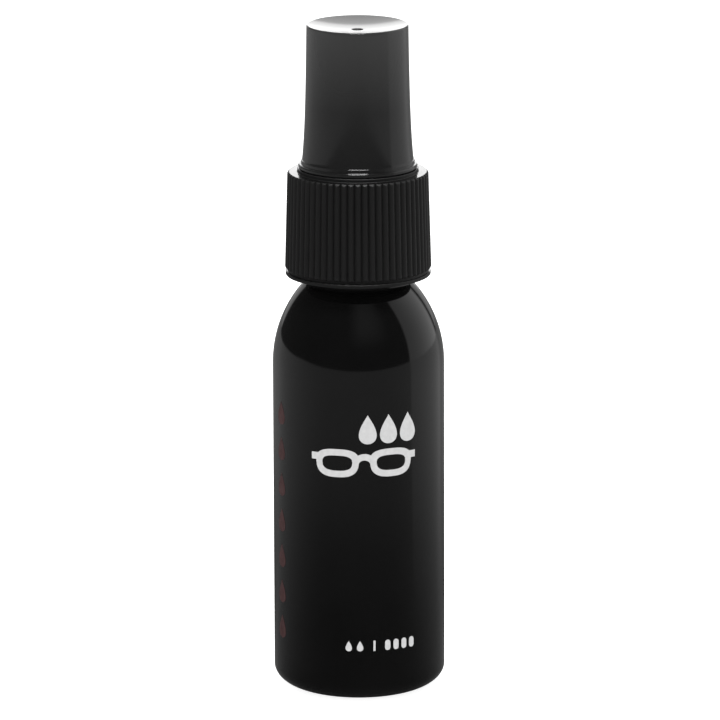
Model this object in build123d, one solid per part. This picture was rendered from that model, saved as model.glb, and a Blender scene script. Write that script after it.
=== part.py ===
from build123d import *
from math import cos, exp, pi, sin, sqrt
import os

# Lens cleaning spray: a 30 ml bottle with a 20-410 screw neck, a ribbed closure with a
# precompression fine-mist pump, and a lift-off overcap.
# Millimetres, +Z up, origin at the centre of the standing ring, spray leaves towards -Y.

# ---------------------------------------------------------------- bottle
BODY_R = 14.4            # outside radius of the straight barrel
WALL = 0.8               # wall of barrel and shoulder
CORNER_R = 5.4           # base corner, radial half-axis of the quarter ellipse
CORNER_H = 3.5           # base corner, upright half-axis
STANDING_R = 8.0         # inner edge of the flat standing ring
PUSH_UP = 1.8            # rise of the domed base at its centre
SHOULDER_Z = 55.8        # where the barrel turns into the shoulder
SHOULDER_R = 20.35       # radius of the shoulder arc
NECK_ROOT = 1.0          # concave rounding where the shoulder turns up into the neck
BORE_R = 7.2             # neck bore
LAND_Z = 84.35           # sealing land at the top of the neck

# ---------------------------------------------------------------- 20-410 thread
THREAD_E = 8.8           # outside radius of the neck, below and between the threads
THREAD_T = 9.85          # radius over the threads
THREAD_PITCH = 25.4 / 8
THREAD_TURNS = 1.5
THREAD_START = 25        # degrees round from +X where both threads begin
THREAD_TOP_Z = LAND_Z - 2.24   # centre of the top end of the bottle's thread
THREAD_GAP = 0.15        # radial gap between crest and root of the two threads
THREAD_SINK = 0.25       # how far a thread's root is sunk into its wall
NECK_RIDGE = (1.0, 0.5)        # half widths of the bottle's thread at root and crest
CLOSURE_RIDGE = (0.75, 0.35)   # the same for the closure's thread

# ---------------------------------------------------------------- closure
SKIRT_Z = 70.95          # lower edge of the skirt
PLATE_Z = 88.45          # outer edge of the top face
RIM_R = 12.15            # plain ring at the skirt's lower edge
RIM_H = 0.6
RIM_EDGE = 0.15
RIM_GROOVE_R = 11.75     # groove between ribs and plain ring
RIB_FOOT_Z = 71.95       # lower end of the ribs
RIB_FOOT_R = 12.27       # over the ribs, foot
RIB_TOP_R = 11.8         # over the ribs, top
RIB_COUNT = 62
RIB_DEPTH = 0.42
RIB_FOOT_CUT = 0.4       # upright length of the chamfer across the ribs' lower ends
RIB_TOP_CUT = (0.3, 0.9)       # chamfer across the ribs' upper ends, inwards and down
RIB_MARGIN = 0.1         # the chamfering outline stays this far outside the ribs
PLINTH_R = 10.1          # step that the overcap stands on
PLINTH_H = 0.62
PLINTH_EDGE = 0.2
BOSS_R = 8.0             # upstand that the overcap pushes over
BOSS_TOP_Z = 93.65
BOSS_EDGE = 0.25
BOSS_BORE_R = 6.75
LIP_BORE_R = 6.3         # lip that hooks under the turret ring
LIP_H = 0.9
MOUTH_CUT = 0.4          # lead-in chamfer at the open end of the skirt

# ---------------------------------------------------------------- overcap
CAP_TOP_Z = 113.3
CAP_TOP_R = 8.5
CAP_DRAFT = 0.27         # straight part of the wall's taper, top to foot
CAP_FLARE = 0.56         # extra radius at the foot, which dies away upwards
CAP_FLARE_RATE = 3.6
CAP_BEAD_R = 9.95
CAP_BEAD_H = 0.75
CAP_BEAD_EDGE = 0.25
CAP_STEP_R = 9.5         # low step between bead and wall
CAP_STEP_H = 0.65
CAP_STEP_EDGE = 0.15
CAP_DISH = 0.9           # depth of the dished top
CAP_TOP_WALL = 1.1
CAP_BORE_R = BOSS_R + 0.05
CAP_BORE_CUT = 0.3
CAP_INNER_TOP_R = 7.7
CAP_EDGE = 0.25          # rounding of the top rim
CAP_ROOF_CLEAR = 0.6     # height above the boss where the bore starts to taper in
GATE_R = 1.0             # moulding gate dimple at the centre of the top
GATE_DEPTH = 0.45

# ---------------------------------------------------------------- pump housing and its seals
STROKE = 4.5             # travel of the actuator
PUMP_BORE_R = 3.25
BARREL_R = 4.1
FLANGE_R = 9.0
FLANGE_H = 1.0
GASKET_H = 1.0
GASKET_GAP = 0.2         # round the barrel
UPSTAND_R = 5.2          # top of the housing, inside the turret ring
UPSTAND_H = 1.7
SNAP_RISE = 0.8          # height of the snap groove's middle above the flange
SNAP_HALF = 0.2
SNAP_DEPTH = 0.2
SEAL_R = 4.4
SEAL_H = 0.8
CHAMBER_Z = 67.85        # floor of the pump chamber
CAGE_R = 1.5             # ball cage
SEAT_Z = 65.45           # top of the ball's conical seat
INLET_R = 0.7
NUB = (1.1, 0.5, 0.4)    # nubs that keep the ball in its cage
BALL_R = 1.19
TAIL_R = 2.4             # outside of the dip tube's socket
TAIL_EDGE = 0.3
CAGE_SLOPE = (0.9, 0.6)  # outside slope round the cage: from below the seat to below the chamber's floor
TUBE_R = 1.48
TUBE_BORE_R = 0.85
SOCKET_Z = 55.55         # lower end of the dip tube's socket
SOCKET_TOP_Z = 63.25
TUBE_FOOT_Z = 3.6
TUBE_TOP_GAP = 0.3       # between the tube's end and the end of its socket
TUBE_SLANT = 30          # degrees, cut at the tube's lower end
SLANT_BLOCK = (12, 12, 1.6)    # block that is cut away there
VENT_R = 0.3
VENT_Z = 81.15
TURRET_H = 1.4           # height of the turret ring's crown above the housing
TURRET_WALL = 0.4
TURRET_EDGE = 0.2
TURRET_BOSS_GAP = 0.15   # inside the closure's boss
TURRET_LIP_GAP = 0.1     # inside the closure's lip
SLIDE_GAP = 0.05         # radial gap of the sliding fits
PRESS_GAP = 0.02         # radial gap that stands in for a press fit

# ---------------------------------------------------------------- moving pump parts at rest
STEM_R = 2.15
STEM_TOP_Z = 99.25
STEM_EDGE = 0.3
STEM_BORE_R = 0.8
STEM_FLANGE_R = 2.9
STEM_FLANGE_Z = 86.35    # underside of the flange, where the precompression spring bears
STEM_FLANGE_GAP = 0.1    # between the flange and the seal above it
STEM_TAIL_R = 1.75
STEM_TAIL_Z = 81.85
ROD_R = 1.2
ROD_SOCKET = 0.8         # how far the rod's socket reaches below the flange's underside
SEAT_CONE_R = 2.4
FOOT_R = 2.5
FOOT_H = 0.6
FOOT_Z = 78.45           # underside of the foot, where the return spring bears
PILOT_R = 1.3            # peg under the foot that centres the return spring
PILOT_H = 1.9
PILOT_EDGE = 0.3
FLUTE = (0.8, 0.5)
PISTON_LIP_R = 3.22
PISTON_SEAT_R = 1.9      # inner edge that closes on the cone
PISTON_WEB_TOP = 2.0     # seat of the precompression spring above the piston's foot
SEAT_GAP = 0.05          # between piston and cone
RETURN_COIL = (2.0, 0.22, 7)         # mean radius, wire radius, turns
PRECOMPRESSION_COIL = (2.55, 0.15, 4)

# ---------------------------------------------------------------- actuator
ACTUATOR_R = 6.6
ACTUATOR_TOP_R = 6.3
ACTUATOR_TOP_Z = 107.85
ACTUATOR_WALL = 0.85
ACTUATOR_ROOF = 1.9
ACTUATOR_EDGE = 0.5
FINGER_DISH = 0.8
POST_R = 3.1
NOZZLE_Z = 101.65
NOZZLE_R = 2.1
NOZZLE_DEPTH = 3.0
NOZZLE_WALL = 0.8
NOZZLE_PEG_R = 0.9
NOZZLE_PEG_H = 1.9
DUCT_RISE = 1.4          # height of the duct above the nozzle's axis
DUCT_R = 0.45
DUCT_WELL_R = 0.6
INSERT_GAP = 0.3         # behind the insert
INSERT_L = 2.2
INSERT_BORE_R = 1.3
INSERT_FACE = 0.5
ORIFICE_R = 0.15
MOUTH_R = 0.9
MOUTH_DEPTH = 0.3

GASKET_TOP_Z = LAND_Z + GASKET_H
FLANGE_TOP_Z = GASKET_TOP_Z + FLANGE_H
SEAL_Z = FLANGE_TOP_Z + UPSTAND_H - SEAL_H
UPSTAND_TOP_Z = FLANGE_TOP_Z + UPSTAND_H
TURRET_TOP_Z = UPSTAND_TOP_Z + TURRET_H
ACTUATOR_FOOT_Z = UPSTAND_TOP_Z + STROKE + 0.1
PLINTH_TOP_Z = PLATE_Z + PLINTH_H
CAP_FOOT_Z = PLINTH_TOP_Z + SLIDE_GAP
PISTON_FOOT_Z = FOOT_Z + FOOT_H + SEAT_CONE_R - PISTON_SEAT_R + SEAT_GAP


def turned(*edges):
    """Solid of revolution about Z from the edges of a closed (radius, height) outline."""
    return revolve(make_face(Plane.XZ * Curve(edges)), Axis.Z)


def turned_points(*points):
    """The same from straight lines through the given points."""
    return revolve(make_face(Plane.XZ * Polyline(*points, close=True)), Axis.Z)


def tube(inner, outer, low, high):
    """Plain ring or tube on the Z axis; inner 0 gives a disc."""
    return turned_points((inner, low), (outer, low), (outer, high), (inner, high))


def thread(low_z, wall_r, crest_r, ridge):
    """Helical ridge of trapezoid section, standing on a wall and reaching crest_r."""
    root_half, crest_half = ridge
    helix = Helix(THREAD_PITCH, THREAD_PITCH * THREAD_TURNS, wall_r, center=(0, 0, low_z))
    reach = crest_r - wall_r
    sink = -THREAD_SINK if reach > 0 else THREAD_SINK
    sunk_half = root_half + (root_half - crest_half) * THREAD_SINK / abs(reach)
    outline = Polyline(
        (sink, -sunk_half), (reach, -crest_half), (reach, crest_half), (sink, sunk_half), close=True
    )
    across = Plane(origin=helix @ 0, x_dir=(1, 0, 0), z_dir=helix % 0)
    return Rot(0, 0, THREAD_START) * sweep(across * make_face(outline), path=helix, is_frenet=True)


def coil(low_z, high_z, mean_r, wire_r, turns):
    """Round-wire compression spring between two flat seats."""
    height = high_z - low_z - 2 * wire_r
    helix = Helix(height / turns, height, mean_r, center=(0, 0, low_z + wire_r))
    across = Plane(origin=helix @ 0, z_dir=helix % 0)
    return sweep(across * Circle(wire_r), path=helix, is_frenet=True)


def along_front(radius, near, far, height):
    """Cylinder that runs from y = -near to y = -far at the given height."""
    front = Plane(origin=(0, -near, height), x_dir=(1, 0, 0), z_dir=(0, -1, 0))
    return extrude(front * Circle(radius), amount=far - near)


# ---------------------------------------------------------------- the pieces
def shoulder_arc(radius, across):
    """Arc of the shoulder from the barrel up to where its radius has come in to across."""
    centre_r = BODY_R - SHOULDER_R
    end = (across - centre_r, sqrt(radius**2 - (across - centre_r) ** 2))
    half = (radius + end[0], end[1])
    reach = radius / sqrt(half[0] ** 2 + half[1] ** 2)
    return ThreePointArc(
        (centre_r + radius, SHOULDER_Z),
        (centre_r + half[0] * reach, SHOULDER_Z + half[1] * reach),
        (across, SHOULDER_Z + end[1]),
    )


def bottle():
    foot_r = BODY_R - CORNER_R
    outer = shoulder_arc(SHOULDER_R, THREAD_E)
    inner = shoulder_arc(SHOULDER_R - WALL, BORE_R)
    body = turned(
        TangentArc((0, PUSH_UP), (STANDING_R, 0), tangent=(1, 0)),
        Line((STANDING_R, 0), (foot_r, 0)),
        EllipticalCenterArc((foot_r, CORNER_H), CORNER_R, CORNER_H, 270, arc_size=90),
        Line((BODY_R, CORNER_H), (BODY_R, SHOULDER_Z)),
        outer,
        Polyline(outer @ 1, (THREAD_E, LAND_Z), (BORE_R, LAND_Z), inner @ 1),
        inner,
        Line((BODY_R - WALL, SHOULDER_Z), (BODY_R - WALL, CORNER_H)),
        EllipticalCenterArc((foot_r, CORNER_H), CORNER_R - WALL, CORNER_H - WALL, 270, arc_size=90),
        Line((foot_r, WALL), (STANDING_R, WALL)),
        TangentArc((0, PUSH_UP + WALL), (STANDING_R, WALL), tangent=(1, 0)),
        Line((0, PUSH_UP + WALL), (0, PUSH_UP)),
    )
    root_z = (outer @ 1).Y
    circles = body.edges().filter_by(GeomType.CIRCLE)
    root = circles.sort_by(lambda edge: abs(edge.center().Z - root_z))[0]
    low_z = THREAD_TOP_Z - THREAD_PITCH * THREAD_TURNS
    return fillet(root, NECK_ROOT) + thread(low_z, THREAD_E, THREAD_T, NECK_RIDGE)


def ribbed_wall():
    """Ribbed skirt wall: a tapering prism whose section is a ring of half-round ribs."""
    step = 2 * pi / RIB_COUNT

    def section(over_ribs, height):
        valley = over_ribs - RIB_DEPTH
        ribs = []
        for i in range(RIB_COUNT):
            a, b, c = i * step, (i + 0.5) * step, (i + 1) * step
            ribs.append(ThreePointArc(
                (valley * cos(a), valley * sin(a)),
                (over_ribs * cos(b), over_ribs * sin(b)),
                (valley * cos(c), valley * sin(c)),
            ))
        return Plane.XY.offset(height) * make_face(Curve(ribs))

    return loft([section(RIB_FOOT_R, RIB_FOOT_Z), section(RIB_TOP_R, PLATE_Z)], ruled=True)


def closure_collar():
    bore_r = THREAD_T + THREAD_GAP + SLIDE_GAP
    under_plate = FLANGE_TOP_Z + SLIDE_GAP
    rim_top = SKIRT_Z + RIM_H
    outside = RIB_FOOT_R + RIB_MARGIN
    envelope = turned_points(
        (0, RIB_FOOT_Z), (RIM_GROOVE_R, RIB_FOOT_Z), (outside, RIB_FOOT_Z + RIB_FOOT_CUT),
        (outside, PLATE_Z - RIB_TOP_CUT[1]), (RIB_TOP_R - RIB_TOP_CUT[0], PLATE_Z), (0, PLATE_Z),
    )
    rim = turned_points(
        (0, SKIRT_Z), (RIM_R - RIM_EDGE, SKIRT_Z), (RIM_R, SKIRT_Z + RIM_EDGE), (RIM_R, rim_top - RIM_EDGE),
        (RIM_R - RIM_EDGE, rim_top), (RIM_GROOVE_R, rim_top), (RIM_GROOVE_R, RIB_FOOT_Z), (0, RIB_FOOT_Z),
    )
    plinth = tube(0, PLINTH_R, PLATE_Z, PLINTH_TOP_Z)
    plinth = fillet(plinth.edges().filter_by(GeomType.CIRCLE).sort_by(Axis.Z)[-1], PLINTH_EDGE)
    boss = tube(0, BOSS_R, PLINTH_TOP_Z, BOSS_TOP_Z)
    boss = chamfer(boss.edges().filter_by(GeomType.CIRCLE).sort_by(Axis.Z)[-1], BOSS_EDGE)
    shell = (ribbed_wall() & envelope) + rim + plinth + boss
    shell -= turned_points(
        (0, SKIRT_Z), (bore_r + MOUTH_CUT, SKIRT_Z), (bore_r, SKIRT_Z + MOUTH_CUT),
        (bore_r, under_plate), (0, under_plate),
    )
    shell -= tube(0, LIP_BORE_R, under_plate, under_plate + LIP_H)
    shell -= tube(0, BOSS_BORE_R, under_plate + LIP_H, BOSS_TOP_Z)
    low_z = THREAD_TOP_Z - THREAD_PITCH * (THREAD_TURNS + 0.5)
    return shell + thread(low_z, bore_r, THREAD_E + THREAD_GAP, CLOSURE_RIDGE)


def overcap():
    bead_z = CAP_FOOT_Z + CAP_BEAD_H
    flare_z = bead_z + CAP_STEP_H
    top_z = CAP_TOP_Z - CAP_EDGE
    rim_r = CAP_TOP_R - CAP_EDGE

    def wall_point(up):
        """Outside of the wall at a share of its height: draft plus a flare that dies away."""
        flare = CAP_FLARE * (exp(-CAP_FLARE_RATE * up) - exp(-CAP_FLARE_RATE))
        return (CAP_TOP_R + CAP_DRAFT * (1 - up) + flare, flare_z + (top_z - flare_z) * up)

    wall = Spline(*[wall_point(up) for up in (0, 0.05, 0.12, 0.25, 0.45, 0.7, 1)])
    shell = turned(
        Polyline(
            (0, CAP_TOP_Z - CAP_DISH - CAP_TOP_WALL), (CAP_INNER_TOP_R, CAP_TOP_Z - CAP_TOP_WALL),
            (CAP_BORE_R, BOSS_TOP_Z + CAP_ROOF_CLEAR), (CAP_BORE_R, CAP_FOOT_Z + CAP_BORE_CUT),
            (CAP_BORE_R + CAP_BORE_CUT, CAP_FOOT_Z), (CAP_BEAD_R - CAP_BEAD_EDGE, CAP_FOOT_Z),
        ),
        TangentArc(
            (CAP_BEAD_R - CAP_BEAD_EDGE, CAP_FOOT_Z), (CAP_BEAD_R, CAP_FOOT_Z + CAP_BEAD_EDGE), tangent=(1, 0)
        ),
        Line((CAP_BEAD_R, CAP_FOOT_Z + CAP_BEAD_EDGE), (CAP_BEAD_R, bead_z - CAP_BEAD_EDGE)),
        TangentArc(
            (CAP_BEAD_R, bead_z - CAP_BEAD_EDGE), (CAP_BEAD_R - CAP_BEAD_EDGE, bead_z), tangent=(0, 1)
        ),
        Polyline(
            (CAP_BEAD_R - CAP_BEAD_EDGE, bead_z), (CAP_STEP_R, bead_z), (CAP_STEP_R, flare_z - CAP_STEP_EDGE)
        ),
        TangentArc(
            (CAP_STEP_R, flare_z - CAP_STEP_EDGE), (CAP_STEP_R - CAP_STEP_EDGE, flare_z), tangent=(0, 1)
        ),
        Line((CAP_STEP_R - CAP_STEP_EDGE, flare_z), wall @ 0),
        wall,
        TangentArc(wall @ 1, (rim_r, CAP_TOP_Z), tangent=(0, 1)),
        TangentArc((0, CAP_TOP_Z - CAP_DISH), (rim_r, CAP_TOP_Z), tangent=(1, 0)),
        Line((0, CAP_TOP_Z - CAP_DISH), (0, CAP_TOP_Z - CAP_DISH - CAP_TOP_WALL)),
    )
    dimple_r = (GATE_R**2 + GATE_DEPTH**2) / (2 * GATE_DEPTH)
    return shell - Pos(0, 0, CAP_TOP_Z - CAP_DISH - GATE_DEPTH + dimple_r) * Sphere(dimple_r)


def neck_gasket():
    return tube(BARREL_R + GASKET_GAP, FLANGE_R, LAND_Z, GASKET_TOP_Z)


def pump_housing():
    snap_z = FLANGE_TOP_Z + SNAP_RISE
    outer = turned_points(
        (0, SOCKET_Z), (TAIL_R - TAIL_EDGE, SOCKET_Z), (TAIL_R, SOCKET_Z + TAIL_EDGE),
        (TAIL_R, SEAT_Z - CAGE_SLOPE[0]), (BARREL_R, CHAMBER_Z - CAGE_SLOPE[1]),
        (BARREL_R, GASKET_TOP_Z), (FLANGE_R, GASKET_TOP_Z),
        (FLANGE_R, FLANGE_TOP_Z), (UPSTAND_R, FLANGE_TOP_Z), (UPSTAND_R, snap_z - SNAP_HALF),
        (UPSTAND_R - SNAP_DEPTH, snap_z), (UPSTAND_R, snap_z + SNAP_HALF),
        (UPSTAND_R, UPSTAND_TOP_Z), (0, UPSTAND_TOP_Z),
    )
    body = outer - turned_points(
        (0, SOCKET_Z), (TUBE_R + PRESS_GAP, SOCKET_Z), (TUBE_R + PRESS_GAP, SOCKET_TOP_Z),
        (INLET_R, SOCKET_TOP_Z), (INLET_R, SEAT_Z - CAGE_R + INLET_R), (CAGE_R, SEAT_Z),
        (CAGE_R, CHAMBER_Z), (PUMP_BORE_R, CHAMBER_Z), (PUMP_BORE_R, SEAL_Z),
        (SEAL_R + SLIDE_GAP, SEAL_Z), (SEAL_R + SLIDE_GAP, UPSTAND_TOP_Z), (0, UPSTAND_TOP_Z),
    )
    nub = Pos(CAGE_R, 0, CHAMBER_Z - NUB[2] / 2) * Box(*NUB)
    for turn in (0, 120, 240):
        body += Rot(0, 0, turn) * nub
    vent = Pos(BARREL_R, 0, VENT_Z) * Rot(0, 90, 0) * Cylinder(VENT_R, 3)
    return body - vent


def turret_ring():
    foot_z = FLANGE_TOP_Z + SLIDE_GAP
    lip_z = foot_z + LIP_H + SLIDE_GAP
    inner_r = UPSTAND_R + SLIDE_GAP
    outer_r = BOSS_BORE_R - TURRET_BOSS_GAP
    hooked_r = LIP_BORE_R - TURRET_LIP_GAP
    crown_r = UPSTAND_R + TURRET_WALL
    under_crown = UPSTAND_TOP_Z + SLIDE_GAP
    snap_z = FLANGE_TOP_Z + SNAP_RISE
    return turned_points(
        (inner_r, foot_z), (hooked_r, foot_z), (hooked_r, lip_z), (outer_r, lip_z),
        (outer_r, UPSTAND_TOP_Z - TURRET_EDGE), (outer_r - TURRET_EDGE, UPSTAND_TOP_Z),
        (crown_r, UPSTAND_TOP_Z), (crown_r, TURRET_TOP_Z - TURRET_WALL),
        (crown_r - TURRET_WALL, TURRET_TOP_Z), (STEM_R + SLIDE_GAP, TURRET_TOP_Z),
        (STEM_R + SLIDE_GAP, under_crown), (inner_r, under_crown), (inner_r, snap_z + SNAP_HALF),
        (inner_r - SNAP_DEPTH + SLIDE_GAP, snap_z), (inner_r, snap_z - SNAP_HALF),
    )


def stem_seal():
    return tube(STEM_R + SLIDE_GAP, SEAL_R, SEAL_Z, UPSTAND_TOP_Z)


def dip_tube():
    pipe = tube(TUBE_BORE_R, TUBE_R, TUBE_FOOT_Z, SOCKET_TOP_Z - TUBE_TOP_GAP)
    return pipe - Pos(0, 0, TUBE_FOOT_Z) * Rot(TUBE_SLANT, 0, 0) * Box(*SLANT_BLOCK)


def inlet_ball():
    """Ball resting on the 45 degree seat, whose tip lies CAGE_R below its top edge."""
    return Pos(0, 0, SEAT_Z - CAGE_R + BALL_R * sqrt(2) + PRESS_GAP) * Sphere(BALL_R)


def upper_stem():
    under_seal = SEAL_Z - STEM_FLANGE_GAP
    socket_z = STEM_FLANGE_Z - ROD_SOCKET
    return turned_points(
        (ROD_R + PRESS_GAP, STEM_TAIL_Z), (STEM_TAIL_R, STEM_TAIL_Z), (STEM_TAIL_R, STEM_FLANGE_Z),
        (STEM_FLANGE_R, STEM_FLANGE_Z), (STEM_FLANGE_R, under_seal), (STEM_R, under_seal),
        (STEM_R, STEM_TOP_Z - STEM_EDGE), (STEM_R - STEM_EDGE, STEM_TOP_Z), (STEM_BORE_R, STEM_TOP_Z),
        (STEM_BORE_R, socket_z), (ROD_R + PRESS_GAP, socket_z),
    )


def lower_stem():
    cone_z = FOOT_Z + FOOT_H
    cone_top = cone_z + SEAT_CONE_R - ROD_R
    rod_top = STEM_FLANGE_Z - ROD_SOCKET - 0.2
    pilot_z = FOOT_Z - PILOT_H
    rod = turned_points(
        (0, pilot_z), (PILOT_R - PILOT_EDGE, pilot_z), (PILOT_R, pilot_z + PILOT_EDGE), (PILOT_R, FOOT_Z),
        (FOOT_R, FOOT_Z), (FOOT_R, cone_z - 0.1), (SEAT_CONE_R, cone_z), (ROD_R, cone_top),
        (ROD_R, rod_top), (0, rod_top),
    )
    flute_low, flute_high = cone_top + 0.2, rod_top + 1
    flute = Pos(ROD_R, 0, (flute_low + flute_high) / 2) * Box(*FLUTE, flute_high - flute_low)
    for turn in (90, 210, 330):
        rod -= Rot(0, 0, turn) * flute
    return rod


def piston():
    """Double-lipped piston; its lower inner edge closes on the lower stem's cone."""
    hub_bore = STEM_TAIL_R + SLIDE_GAP
    seat, lip, foot = PISTON_SEAT_R, PISTON_LIP_R, PISTON_FOOT_Z
    return turned_points(
        (seat, foot), (seat + 0.4, foot), (seat + 0.6, foot + 0.9), (lip - 0.45, foot + 0.9),
        (lip - 0.3, foot - 0.1), (lip, foot - 0.2), (lip, foot + 0.2), (lip - 0.15, foot + 1.5),
        (lip, foot + 2.8), (lip, foot + 3.2), (lip - 0.3, foot + 3.1), (lip - 0.4, foot + PISTON_WEB_TOP),
        (seat + 0.4, foot + PISTON_WEB_TOP), (seat + 0.3, foot + 3.3), (hub_bore, foot + 3.3),
        (hub_bore, foot + 0.8), (seat, foot + 0.6),
    )


def precompression_spring():
    return coil(PISTON_FOOT_Z + PISTON_WEB_TOP, STEM_FLANGE_Z, *PRECOMPRESSION_COIL)


def return_spring():
    return coil(CHAMBER_Z, FOOT_Z, *RETURN_COIL)


def actuator():
    ceiling = ACTUATOR_TOP_Z - ACTUATOR_ROOF
    post_z = TURRET_TOP_Z + STROKE + 0.3
    socket_top = STEM_TOP_Z + 0.1
    edge = ACTUATOR_EDGE
    shell = turned(
        Polyline(
            (0, ceiling), (ACTUATOR_TOP_R - ACTUATOR_WALL, ceiling),
            (ACTUATOR_R - ACTUATOR_WALL, ACTUATOR_FOOT_Z), (ACTUATOR_R, ACTUATOR_FOOT_Z),
            (ACTUATOR_R, ACTUATOR_FOOT_Z + STROKE + 1.5), (ACTUATOR_TOP_R, ACTUATOR_TOP_Z - edge),
        ),
        TangentArc(
            (ACTUATOR_TOP_R, ACTUATOR_TOP_Z - edge), (ACTUATOR_TOP_R - edge, ACTUATOR_TOP_Z), tangent=(0, 1)
        ),
        TangentArc(
            (0, ACTUATOR_TOP_Z - FINGER_DISH), (ACTUATOR_TOP_R - edge, ACTUATOR_TOP_Z), tangent=(1, 0)
        ),
        Line((0, ACTUATOR_TOP_Z - FINGER_DISH), (0, ceiling)),
    )
    post = tube(0, POST_R, post_z, ceiling)
    arm = along_front(NOZZLE_R + NOZZLE_WALL, 0, ACTUATOR_TOP_R - 0.3, NOZZLE_Z)
    body = shell + post + arm
    body -= tube(0, STEM_R + PRESS_GAP, post_z, socket_top)
    floor = ACTUATOR_R - NOZZLE_DEPTH
    duct_z = NOZZLE_Z + DUCT_RISE
    body -= along_front(NOZZLE_R, floor, ACTUATOR_R + 1, NOZZLE_Z)
    body += along_front(NOZZLE_PEG_R, floor - 0.1, floor + NOZZLE_PEG_H, NOZZLE_Z)
    body -= tube(0, DUCT_WELL_R, socket_top, duct_z + 0.3)
    return body - along_front(DUCT_R, 0, floor + 0.1, duct_z)


def nozzle_insert():
    back = ACTUATOR_R - NOZZLE_DEPTH + INSERT_GAP
    front = back + INSERT_L
    cup = along_front(NOZZLE_R - PRESS_GAP, back, front, NOZZLE_Z)
    cup -= along_front(INSERT_BORE_R, back, front - INSERT_FACE, NOZZLE_Z)
    cup -= along_front(ORIFICE_R, back, front + 1, NOZZLE_Z)
    mouth = Pos(0, MOUTH_DEPTH / 2 - front, NOZZLE_Z) * Rot(90, 0, 0) * Cone(ORIFICE_R, MOUTH_R, MOUTH_DEPTH)
    return cup - mouth


PIECES = [
    bottle, closure_collar, overcap, actuator, nozzle_insert, upper_stem, lower_stem, piston,
    precompression_spring, return_spring, inlet_ball, pump_housing, turret_ring, stem_seal,
    neck_gasket, dip_tube,
]

os.makedirs("parts", exist_ok=True)
for piece in PIECES:
    export_step(piece(), f"parts/{piece.__name__}.step")
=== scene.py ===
import math

import bmesh
import bpy
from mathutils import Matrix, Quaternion, Vector

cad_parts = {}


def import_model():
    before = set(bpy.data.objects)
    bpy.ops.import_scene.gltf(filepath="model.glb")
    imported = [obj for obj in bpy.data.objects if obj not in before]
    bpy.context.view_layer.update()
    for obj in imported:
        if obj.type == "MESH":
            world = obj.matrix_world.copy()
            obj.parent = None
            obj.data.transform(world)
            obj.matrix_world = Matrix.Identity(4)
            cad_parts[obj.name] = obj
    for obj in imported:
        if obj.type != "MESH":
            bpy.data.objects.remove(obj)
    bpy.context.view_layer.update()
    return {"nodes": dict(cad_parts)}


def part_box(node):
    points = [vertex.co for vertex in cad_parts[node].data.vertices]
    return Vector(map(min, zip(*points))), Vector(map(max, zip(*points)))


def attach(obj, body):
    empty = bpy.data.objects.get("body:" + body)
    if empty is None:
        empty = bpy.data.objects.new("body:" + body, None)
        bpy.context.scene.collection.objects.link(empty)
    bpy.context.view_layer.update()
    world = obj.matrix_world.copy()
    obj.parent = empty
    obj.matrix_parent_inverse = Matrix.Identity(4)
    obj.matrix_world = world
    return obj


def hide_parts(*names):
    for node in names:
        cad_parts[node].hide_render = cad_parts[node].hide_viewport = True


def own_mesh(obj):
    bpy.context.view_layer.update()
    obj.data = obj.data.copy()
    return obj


# The looks of the lens cleaning spray. Metres, in the row frame: +Z up, the printed front faces -Y.
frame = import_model()
MM = 0.001

# ---------------------------------------------------------------- sizes taken from the frame
BOTTLE_LOW, BOTTLE_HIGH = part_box("bottle")
CLOSURE_LOW, CLOSURE_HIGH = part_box("closure_collar")
CAP_LOW, CAP_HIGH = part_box("overcap")
RETURN_LOW, RETURN_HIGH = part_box("return_spring")
PRELOAD_LOW, PRELOAD_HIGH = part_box("precompression_spring")

BODY_R = BOTTLE_HIGH.x
LAND_Z = BOTTLE_HIGH.z
SKIRT_Z = CLOSURE_LOW.z
BOSS_TOP_Z = CLOSURE_HIGH.z
CAP_FOOT_Z = CAP_LOW.z
CAP_TOP_Z = CAP_HIGH.z
CAP_BEAD_R = CAP_HIGH.x

# ---------------------------------------------------------------- roundings of moulded edges
CRISP = 0.1 * MM
FINE = 0.12 * MM
SOFT = 0.2 * MM
BROAD = 0.3 * MM
ROW_GAP = 0.1 * MM           # from a plain wall's last row to the shaped wall that follows it

# ---------------------------------------------------------------- bottle
WALL = 0.8 * MM
CORNER_R = 5.4 * MM          # base corner, a quarter ellipse
CORNER_H = 3.5 * MM
STANDING_R = 8.0 * MM        # inner edge of the flat standing ring
STANDING_EDGE = 0.15 * MM    # width of the break at that edge
PUSH_UP = 1.8 * MM
SHOULDER_Z = 55.8 * MM
SHOULDER_R = 20.35 * MM
NECK_ROOT = 1.0 * MM         # concave rounding where the shoulder turns up into the neck
BORE_R = 7.2 * MM
BORE_ROW = 2.0 * MM          # depth below the land of the rows where a bore begins
LAND_EDGE = 0.15 * MM
BOTTLE_COLUMNS = 256

# ---------------------------------------------------------------- neck thread
THREAD_E = 8.8 * MM          # radius between the threads and over them
THREAD_T = 9.85 * MM
PITCH = 25.4 / 8 * MM
TURNS = 1.5
THREAD_START = math.radians(25)
THREAD_LOW_Z = LAND_Z - 2.24 * MM - PITCH * TURNS
THREAD_FADE = 0.05           # turns over which a thread end rises from the wall
THREAD_ROWS = 64             # mesh rows along a threaded wall
THREAD_GAP = 0.15 * MM
THREAD_BELOW = 1.1 * MM      # threaded wall below the start of the neck's thread
THREAD_ABOVE = 0.9 * MM      # plain wall between the threaded wall and the land
NECK_RIDGE = (1.0 * MM, 0.5 * MM)      # half widths of a thread at its root and its crest
CLOSURE_RIDGE = (0.75 * MM, 0.35 * MM)

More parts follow.
